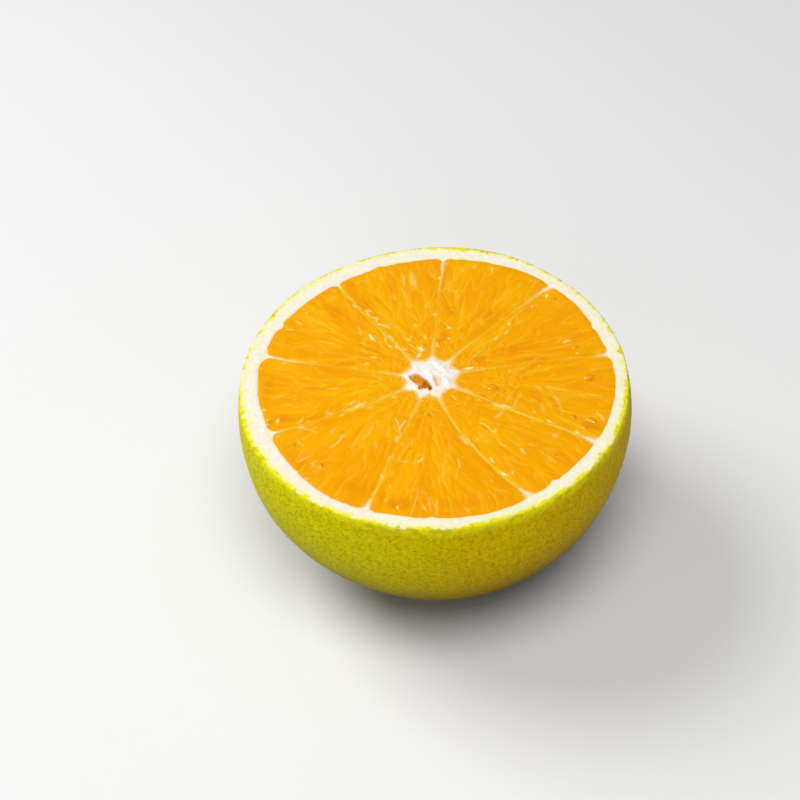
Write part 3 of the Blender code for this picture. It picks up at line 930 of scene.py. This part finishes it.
def make_core():
    edge = face_points(inner_of, 0)
    edge[:, 2] -= CORE_DIP
    rings = [edge - (0, 0, PITH_SKIRT), edge]
    rise = [0.0, 0.0]
    picked = edge
    rows = round(CORE_RADIUS / CORE_STEP)
    count_now = COLUMNS
    centre = np.array((*CORE_MIDDLE, FACE_Z))
    for row in range(1, rows):
        share = 1 - row / rows
        if count_now % 2 == 0 and 2 * math.pi * CORE_RADIUS * share / count_now < 0.6 * CORE_STEP:
            picked = picked[::2]
            count_now //= 2
        flat = picked - centre
        reach = np.linalg.norm(flat, axis=-1, keepdims=True)
        even = CORE_RADIUS + (reach - CORE_RADIUS) * share**2
        rings.append((centre + flat / reach * even * share) * (1, 1, 0) + (0, 0, FACE_Z))
        rise.append(smooth_step(row * CORE_STEP, 0, CORE_FADE))
    rings = rings[::-1]
    points = np.concatenate(rings)
    depth, into, shade = cavity_depth(points)
    folds = swirl(turned(points, -62) * (1, 0.35, 1), 1.3 * MM, 14)
    lumps = 0.32 * folds + 0.08 * swirl(points, 0.7 * MM, 15)
    level = np.concatenate([np.full(len(ring), high) for ring, high in zip(rings, rise[::-1])])
    not_yet_low = points[:, 2] == FACE_Z
    points[:, 2] += ((lumps + 0.05) * MM - depth) * level - CORE_DIP * (1 - level) * not_yet_low
    faces = ring_faces(rings)
    faces.append(list(range(len(rings[0]))))
    values = {"cavity": into * level, "folds": folds, "shade": shade, "level": level}
    return add_object("core", points, faces, values)


# Juice

BEADS = (
    # x, y, radius
    (30.6, 0.6, 1.0),
    (27.2, -10.0, 0.8),
    (30.8, -11.0, 0.8),
    (29.2, -12.7, 0.7),
    (11.6, -2.2, 1.1),
    (-31.5, -11.5, 0.6),
    (-26.3, -17.5, 0.7),
    (24.0, 22.5, 0.5),
    (28.0, 9.0, 0.6),
    (-20.6, -22.6, 0.6),
    (3.5, 20.0, 0.6),
)
BEADS_SCATTERED = 14
BEAD_RINGS = 7
BEAD_SIDES = 20


def make_juice(ground):
    """Beads of juice and swollen ends of sacs that lie on the pulp."""
    draw = np.random.default_rng(SEED + 7)
    points, faces = [], []
    turn = np.arange(BEAD_SIDES) * 2 * math.pi / BEAD_SIDES
    beads = list(BEADS)
    for _ in range(BEADS_SCATTERED):
        reach, angle = draw.uniform(9, 33), draw.uniform(0, 2 * math.pi)
        beads.append((reach * math.cos(angle), reach * math.sin(angle), draw.uniform(0.2, 0.45)))
    for x, y, radius in beads:
        near = np.hypot(ground[:, 0] - x * MM, ground[:, 1] - y * MM).argmin()
        base = ground[near]
        lie = math.atan2(y, x) + draw.normal(0, 0.4)
        long = radius * draw.uniform(1.0, 1.35) * MM
        wide = radius * draw.uniform(0.70, 0.90) * MM
        tall = radius * draw.uniform(0.26, 0.36) * MM
        first = len(points)
        for ring in range(BEAD_RINGS):
            out = (ring + 0.5) / (BEAD_RINGS - 0.5)
            wobble = 1 + 0.06 * np.sin(2 * turn + draw.uniform(0, 6)) + 0.04 * np.sin(3 * turn)
            a = long * out * np.cos(turn) * wobble
            b = wide * out * np.sin(turn) * (1 - 0.2 * np.cos(turn)) * wobble
            east = a * math.cos(lie) - b * math.sin(lie)
            north = a * math.sin(lie) + b * math.cos(lie)
            high = tall * (1 - out**2) ** 0.8 - 0.03 * MM * (out == 1)
            points += (base + np.stack((east, north, np.full(BEAD_SIDES, high)), -1)).tolist()
        faces.append(list(range(first, first + BEAD_SIDES)))
        faces += (np.array(ring_faces([turn] * BEAD_RINGS)) + first).tolist()
    return add_object("juice", np.array(points), faces)


# Materials

class Nodes:
    """Short ways to add and join shader nodes in one material."""

    def __init__(self, name):
        self.material = bpy.data.materials.new(name)
        self.material.use_nodes = True
        self.tree = self.material.node_tree
        self.shader = self.tree.nodes["Principled BSDF"]

    def add(self, kind, **settings):
        node = self.tree.nodes.new(kind)
        for key, value in settings.items():
            setattr(node, key, value)
        return node

    def put(self, socket, value):
        if isinstance(value, bpy.types.NodeSocket):
            self.tree.links.new(value, socket)
        elif socket.type == "RGBA" and len(value) == 3:
            socket.default_value = (*value, 1)
        else:
            socket.default_value = value

    def set(self, **values):
        for key, value in values.items():
            self.put(self.shader.inputs[key.replace("_", " ")], value)

    def maths(self, operation, *values, clamp=False):
        node = self.add("ShaderNodeMath", operation=operation, use_clamp=clamp)
        for socket, value in zip(node.inputs, values):
            self.put(socket, value)
        return node.outputs[0]

    def plus(self, first, second, clamp=False):
        return self.maths("ADD", first, second, clamp=clamp)

    def minus(self, first, second):
        return self.maths("SUBTRACT", first, second)

    def times(self, first, second):
        return self.maths("MULTIPLY", first, second)

    def blend(self, share, first, second, kind="MIX"):
        node = self.add("ShaderNodeMix", data_type="RGBA", blend_type=kind)
        self.put(node.inputs[0], share)
        self.put(node.inputs[6], first)
        self.put(node.inputs[7], second)
        return node.outputs[2]

    def step(self, value, low, high, to_low=0.0, to_high=1.0):
        node = self.add("ShaderNodeMapRange", interpolation_type="SMOOTHSTEP")
        for socket, one in zip(node.inputs, (value, low, high, to_low, to_high)):
            self.put(socket, one)
        return node.outputs[0]

    def point(self):
        return self.add("ShaderNodeTexCoord").outputs["Object"]

    def grain(self, vector, scale, detail=2.0, rough=0.5, twist=0.0):
        node = self.add("ShaderNodeTexNoise")
        self.put(node.inputs["Vector"], vector)
        self.put(node.inputs["Scale"], scale)
        self.put(node.inputs["Detail"], detail)
        self.put(node.inputs["Roughness"], rough)
        self.put(node.inputs["Distortion"], twist)
        return node.outputs[0]

    def cells(self, vector, scale, feature="F1"):
        node = self.add("ShaderNodeTexVoronoi", feature=feature)
        self.put(node.inputs["Vector"], vector)
        self.put(node.inputs["Scale"], scale)
        return node

    def number(self, name):
        return self.add("ShaderNodeAttribute", attribute_name=name).outputs["Fac"]

    def vector(self, name):
        return self.add("ShaderNodeAttribute", attribute_name=name).outputs["Vector"]

    def bump(self, height, depth, below=None):
        """A bump this deep in metres. It lies on the bump below it."""
        node = self.add("ShaderNodeBump")
        node.inputs["Strength"].default_value = 1.0
        self.put(node.inputs["Distance"], depth)
        self.put(node.inputs["Height"], height)
        if below is not None:
            self.put(node.inputs["Normal"], below)
        return node.outputs[0]


def rind_material(name):
    """Zest that gives way to white pith on the cut face. Peel and pith share it, so their colours meet."""
    n = Nodes(name)
    point = n.point()
    parts = n.add("ShaderNodeSeparateXYZ")
    n.put(parts.inputs[0], point)
    east, north, up = parts.outputs
    reach = n.maths("SQRT", n.plus(n.maths("POWER", east, 2.0), n.maths("POWER", north, 2.0)))
    blotch = n.grain(point, 1 / (0.6 * MM), 2.0, 0.6)
    wander = n.grain(point, 1 / (5.0 * MM), 1.0)
    glands = n.cells(point, 1 / (1.15 * MM), "SMOOTH_F1")
    clump = n.minus(glands.outputs["Color"], 0.5)
    ragged = n.times(n.minus(blotch, 0.5), 1.7 * MM)
    ragged = n.plus(ragged, n.times(n.minus(wander, 0.5), 1.6 * MM))
    ragged = n.plus(ragged, n.times(clump, 1.2 * MM))
    line = n.minus(n.plus(reach, ragged), ZEST_RADIUS)
    line = n.minus(line, n.step(north, 5 * MM, 30 * MM, 0.0, 0.22 * MM))
    on_face = n.step(up, FACE_Z - 0.45 * MM, FACE_Z - 0.20 * MM)
    zest = n.maths("MAXIMUM", n.step(line, -0.12 * MM, 0.36 * MM), n.minus(1.0, on_face))
    halo = n.times(n.step(line, -1.2 * MM, 0.15 * MM), on_face)

    # Zest: lime yellow at the rim and on the left, olive gold on the right, with painted shade darkening it
    # towards the bottom
    drift = n.grain(point, 1 / (24 * MM), 2.0)
    leftward = n.step(n.plus(east, n.times(drift, 20 * MM)), 34 * MM, -16 * MM)
    skin = n.blend(leftward, (0.69, 0.47, 0.0003), (0.74, 0.69, 0.0005))
    # Painted shade: olive brown towards the bottom, darker and browner low on the right
    low = n.blend(leftward, (0.17, 0.095, 0.0001), (0.30, 0.26, 0.0001))
    skin = n.blend(n.step(up, 41 * MM, 10 * MM, 0.0, 0.95), skin, low)
    # Painted shade: near black brown at the very bottom
    deep = n.blend(leftward, (0.06, 0.026, 0.0), (0.14, 0.108, 0.0))
    skin = n.blend(n.step(up, 30 * MM, 8 * MM, 0.0, 0.80), skin, deep)
    mottle = n.grain(point, 1 / (0.7 * MM), 3.0, 0.65)
    skin = n.blend(n.step(mottle, 0.46, 0.68, 0.0, 0.80), skin, (0.62, 0.57, 0.6), "MULTIPLY")
    skin = n.blend(n.step(mottle, 0.46, 0.28, 0.0, 0.80), skin, (1.25, 1.25, 1.0), "MULTIPLY")
    pores = n.cells(point, 1 / PORE_SPACING)
    pore = n.minus(1.0, n.step(pores.outputs["Distance"], 0.06, 0.20))
    some = n.step(n.grain(point, 1 / (2.6 * MM), 1.0), 0.42, 0.58)
    skin = n.blend(n.times(n.times(pore, some), 0.60), skin, (0.07, 0.055, 0.0))

    # The cut edge of the zest is brighter, with the green oil glands cut open in it
    rim = n.step(up, FACE_Z - 2.6 * MM, FACE_Z - 0.1 * MM)
    skin = n.blend(n.times(rim, 0.75), skin, (0.95, 0.88, 0.012))
    gap = n.step(n.plus(glands.outputs["Distance"], n.times(blotch, 0.3)), 0.54, 0.80)
    near_edge = n.step(up, FACE_Z - 2.4 * MM, FACE_Z - 0.6 * MM)
    skin = n.blend(n.times(n.times(gap, near_edge), 0.50), skin, (0.46, 0.42, 0.0))

    # Pith: cream white, yellower towards the zest, tinged with juice at the pulp, with a soft fibrous grain
    fibre = n.grain(point, 1 / (0.8 * MM), 4.0, 0.6)
    cloud = n.grain(point, 1 / (3.0 * MM), 2.0)
    white = n.blend(n.step(fibre, 0.35, 0.7), (0.95, 0.91, 0.74), (0.90, 0.84, 0.61))
    white = n.blend(n.step(cloud, 0.4, 0.7, 0.0, 0.5), white, (0.93, 0.84, 0.72))
    white = n.blend(n.times(halo, 0.80), white, (0.92, 0.90, 0.30))
    tinge = n.times(n.number("inward"), n.step(blotch, 0.35, 0.65, 0.35, 0.8))
    white = n.blend(tinge, white, (0.94, 0.66, 0.22))
    n.set(Base_Color=n.blend(zest, white, skin))
    n.set(Roughness=n.step(zest, 0, 1, 0.80, 0.46))

    skin_bump = n.plus(n.times(pore, -0.8), n.times(mottle, 0.9))
    skin_bump = n.minus(skin_bump, n.times(n.times(gap, near_edge), 0.6))
    n.set(Normal=n.bump(n.blend(zest, fibre, skin_bump), 0.10 * MM,
                        n.bump(n.grain(point, 1 / (0.35 * MM), 2.0), 0.03 * MM)))
    n.set(Specular_IOR_Level=0.012, Subsurface_Weight=0.12, Subsurface_Radius=(1.0, 0.8, 0.2),
          Subsurface_Scale=0.7 * MM)
    return n.material


def wall_skin(n, web, white, patchy, under):
    """A colour with the pale skin of a wall over it."""
    skin = n.blend(white, (0.99, 0.65, 0.07), (0.99, 0.85, 0.50))
    cover = n.times(web, n.step(patchy, 0.25, 0.60, 0.55, 1.0))
    return n.blend(cover, under, skin)


def pulp_material():
    n = Nodes("flesh")
    flow = n.vector("flow")
    names = ("tone", "seam", "inside", "edge", "from_core", "wet_and_glint", "web", "white", "strands")
    tone, seam, inside, edge, from_core, wet_and_glint, web, white, strands = (n.number(name) for name in names)
    point = n.point()

    # Juice: amber, yellower in some parts and deeper in others
    broad = n.grain(point, 1 / (10 * MM), 2.0)
    share = n.plus(n.times(tone, 0.25), n.times(broad, 1.0))
    colour = n.blend(n.step(share, 0.35, 0.95), (0.94, 0.385, 0.0), (0.96, 0.435, 0.0))
    juice = n.number("juice")
    colour = n.blend(n.step(juice, 0.0, 1.0, 0.0, 0.9), colour, (0.98, 0.51, 0.0))
    colour = n.blend(n.step(juice, 0.0, -1.0, 0.0, 0.65), colour, (0.80, 0.24, 0.0))
    patches = n.grain(flow, 0.22, 2.0, 0.5, 0.4)
    colour = n.blend(n.step(patches, 0.50, 0.72, 0.0, 0.50), colour, (0.98, 0.51, 0.0))
    colour = n.blend(n.step(patches, 0.50, 0.28, 0.0, 0.42), colour, (0.85, 0.28, 0.0))
    # Slightly darker within about 2 mm of the walls, the pith and the core
    colour = n.blend(n.step(edge, 2.2, 0.2, 0.0, 0.10), colour, (0.84, 0.29, 0.0))

    # Pale streaks: the cut skins of the sacs, and fine strands that fan out inside them
    seams = n.times(n.step(inside, 0.24, 0.02), n.step(seam, 0.50, 0.80, 0.0, 0.36))
    feather = n.grain(flow, 0.50, 2.0, 0.5, 0.15)
    soft = n.step(n.plus(feather, n.times(strands, 0.06)), 0.54, 0.76, 0.0, 0.24)
    hair = n.grain(flow, 0.90, 1.0, 0.5, 0.15)
    hair = n.maths("ABSOLUTE", n.minus(hair, 0.5))
    hair = n.step(hair, 0.030, 0.003, 0.0, 0.42)
    broken = n.step(n.grain(point, 1 / (3.2 * MM), 2.0), 0.48, 0.66)
    streak = n.plus(n.times(hair, broken), n.plus(seams, soft), clamp=True)
    colour = n.blend(streak, colour, (0.97, 0.58, 0.03))
    colour = n.blend(n.step(feather, 0.45, 0.28, 0.0, 0.16), colour, (0.80, 0.26, 0.0))
    # Painted shade in the creases beside the sacs' skins
    colour = n.blend(n.number("shaded_crease"), colour, (0.55, 0.16, 0.01))
    colour = n.blend(n.times(n.number("pale"), 0.85), colour, (0.99, 0.69, 0.18))

    # The skins of the walls, and the core's fibre, fray out over the ends of the sacs
    patchy = n.grain(point, 1 / (1.0 * MM), 3.0, 0.6)
    fray = n.plus(from_core, n.times(patchy, 2.0))
    colour = n.blend(n.step(fray, 2.1, 0.9, 0.0, 0.85), colour, (0.96, 0.80, 0.48))
    colour = wall_skin(n, web, white, patchy, colour)
    # Wet patches: pale swollen sac ends with a painted highlight, palest in their middles
    pale_and_glint = n.times(wet_and_glint, n.step(patchy, 0.25, 0.55, 0.6, 1.0))
    colour = n.blend(n.step(pale_and_glint, 0.0, 0.6), colour, (0.97, 0.64, 0.14))
    colour = n.blend(n.step(pale_and_glint, 0.5, 1.0), colour, (0.99, 0.88, 0.52))
    n.set(Base_Color=colour)
    n.set(Roughness=n.step(n.minus(n.grain(point, 1 / (1.5 * MM), 2.0), wet_and_glint), 0.1, 0.7, 0.08, 0.22))
    ripples = n.grain(flow, 0.6, 2.0, 0.5)
    pebbles = n.grain(point, 1 / (1.6 * MM), 2.0)
    n.set(Normal=n.bump(ripples, 0.030 * MM, n.bump(pebbles, 0.05 * MM)))
    n.set(Specular_IOR_Level=0.24, Subsurface_Weight=0.15, Subsurface_Radius=(1.0, 0.45, 0.02),
          Subsurface_Scale=1.0 * MM)
    return n.material


def wall_material():
    """Thin walls: white at the pith and the core, and let the pulp's orange through in between."""
    n = Nodes("wall")
    web = n.number("web")
    white = n.number("white")
    point = n.point()
    patchy = n.grain(point, 1 / (1.0 * MM), 3.0, 0.6)
    n.set(Base_Color=wall_skin(n, web, white, patchy, (0.98, 0.43, 0.0)))
    n.set(Roughness=n.step(patchy, 0.3, 0.7, 0.14, 0.30))
    n.set(Normal=n.bump(n.grain(point, 1 / (0.5 * MM), 3.0), 0.03 * MM))
    n.set(Specular_IOR_Level=0.12, Subsurface_Weight=0.15, Subsurface_Radius=(1.0, 0.45, 0.05),
          Subsurface_Scale=0.8 * MM)
    return n.material


def core_material():
    n = Nodes("core")
    cavity = n.number("cavity")
    folds = n.number("folds")
    point = n.point()
    fibre = n.grain(point, 1 / (0.7 * MM), 4.0, 0.6)
    white = n.blend(n.step(fibre, 0.35, 0.65), (0.98, 0.97, 0.93), (0.95, 0.84, 0.78))
    # Painted shade, tinted pink, in the low parts of the folds
    white = n.blend(n.step(folds, 0.10, -0.40, 0.0, 0.40), white, (0.93, 0.72, 0.62))
    damp = n.grain(point, 1 / (1.3 * MM), 2.0)
    patchy = n.grain(point, 1 / (1.0 * MM), 3.0, 0.6)
    frayed = n.times(n.step(n.number("level"), 0.75, 0.0), n.step(patchy, 0.35, 0.62, 0.15, 0.95))
    white = n.blend(frayed, white, (0.97, 0.84, 0.56))
    shade = n.plus(n.number("shade"), n.times(n.minus(damp, 0.5), 3.2))
    # The cavities: beige at their edges and where shallow, orange darkening to deep brown along the deep
    # ones. The beige and the darkening are painted shade
    hollow = n.blend(n.step(shade, -0.6, 0.9), (0.94, 0.45, 0.02), (0.45, 0.13, 0.01))
    beige = n.blend(n.step(cavity, 0.0, 0.35), white, (0.80, 0.60, 0.38))
    n.set(Base_Color=n.blend(n.step(cavity, 0.38, 0.85), beige, hollow))
    n.set(Roughness=n.step(cavity, 0, 1, 0.6, 0.22))
    n.set(Normal=n.bump(fibre, 0.16 * MM))
    n.set(Specular_IOR_Level=0.38, Subsurface_Weight=0.12, Subsurface_Radius=(1.0, 0.6, 0.4),
          Subsurface_Scale=0.6 * MM)
    return n.material


def juice_material():
    """Beads of juice and swollen sac ends, wet and clear over the pulp."""
    n = Nodes("juice")
    point = n.point()
    cloud = n.grain(point, 1 / (1.2 * MM), 2.0)
    n.set(Base_Color=n.blend(n.step(cloud, 0.35, 0.65), (0.88, 0.33, 0.0), (0.92, 0.40, 0.002)))
    n.set(Roughness=n.step(cloud, 0.3, 0.7, 0.05, 0.10))
    n.set(Normal=n.bump(n.grain(point, 1 / (0.5 * MM), 2.0), 0.03 * MM))
    n.set(Specular_IOR_Level=0.5)
    return n.material


def floor_material():
    n = Nodes("floor")
    cloud = n.grain(n.point(), 6.0, 2.0)
    n.set(Base_Color=n.blend(n.step(cloud, 0.3, 0.7), (0.90, 0.90, 0.90), (0.91, 0.91, 0.91)))
    n.set(Roughness=0.8)
    return n.material


# Floor, lights and camera

def make_floor():
    size = 3.0
    corners = np.array(((-size, -size, 0), (size, -size, 0), (size, size, 0), (-size, size, 0)))
    floor = add_object("floor", corners, [[0, 1, 2, 3]])
    floor.data.materials.append(floor_material())


def add_lamp(name, place, target, size, power, colour=(1, 1, 1)):
    lamp = bpy.data.lights.new(name, "AREA")
    lamp.shape = "DISK"
    lamp.size = size
    lamp.energy = power
    lamp.color = colour
    holder = bpy.data.objects.new(name, lamp)
    holder.location = place
    holder.rotation_euler = (Vector(target) - Vector(place)).to_track_quat("-Z", "Y").to_euler()
    bpy.context.collection.objects.link(holder)


def make_lights():
    middle = (0, 0, 0.03)
    add_lamp("key", (-0.42, 0.18, 0.58), middle, 0.42, 2.8)
    add_lamp("fill", (-0.15, -0.70, 0.45), middle, 0.50, 0.5)
    add_lamp("top", (0.04, -0.28, 0.78), middle, 0.45, 3.55)
    world = bpy.data.worlds.new("studio")
    world.use_nodes = True
    background = world.node_tree.nodes["Background"]
    background.inputs["Color"].default_value = (1, 1, 1, 1)
    background.inputs["Strength"].default_value = 0.10
    bpy.context.scene.world = world


def make_camera():
    """Where the cut face's middle lies in the picture, from how far it is seen and at what tilt."""
    frame_pixels = 800
    focal_pixels = 1911
    face_pixel = Vector((433.3, 379.1))
    distance = 0.375
    elevation = math.radians(46.9)
    roll = math.radians(-3.5)
    off = (face_pixel - Vector((frame_pixels / 2, frame_pixels / 2))) / focal_pixels
    face_in_view = Vector((off.x, -off.y, -1)) * distance
    level = math.cos(elevation)
    up = Vector((math.sin(roll) * level, math.cos(roll) * level, math.sin(elevation)))
    right = Vector((0, 1, 0)).cross(up).normalized()
    away = up.cross(right)
    to_view = Matrix((right, away, up)).transposed().to_4x4()
    to_view.translation = face_in_view - to_view.to_3x3() @ Vector((0, 0, FACE_Z))
    lens = bpy.data.cameras.new("camera")
    lens.sensor_width = 36
    lens.lens = lens.sensor_width * focal_pixels / frame_pixels
    lens.clip_start = 0.01
    camera = bpy.data.objects.new("camera", lens)
    camera.matrix_world = to_view.inverted()
    bpy.context.collection.objects.link(camera)
    bpy.context.scene.camera = camera


def dress(piece, material):
    piece.data.materials.append(material)
    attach(piece, "root")


bpy.context.scene.view_settings.view_transform = "Standard"
make_camera()
make_lights()
make_floor()
peel, zest_line = make_peel()
dress(peel, rind_material("peel"))
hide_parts("orange_half")
dress(make_pith(zest_line), rind_material("pith"))
flesh = pulp_material()
pulp = [make_segment(segment) for segment in range(WALL_COUNT)]
for piece in pulp:
    dress(piece, flesh)
ground = np.concatenate([np.array([vertex.co for vertex in piece.data.vertices]) for piece in pulp])
dress(make_juice(ground), juice_material())
membrane = wall_material()
for wall in range(WALL_COUNT):
    dress(make_wall(wall), membrane)
dress(make_core(), core_material())
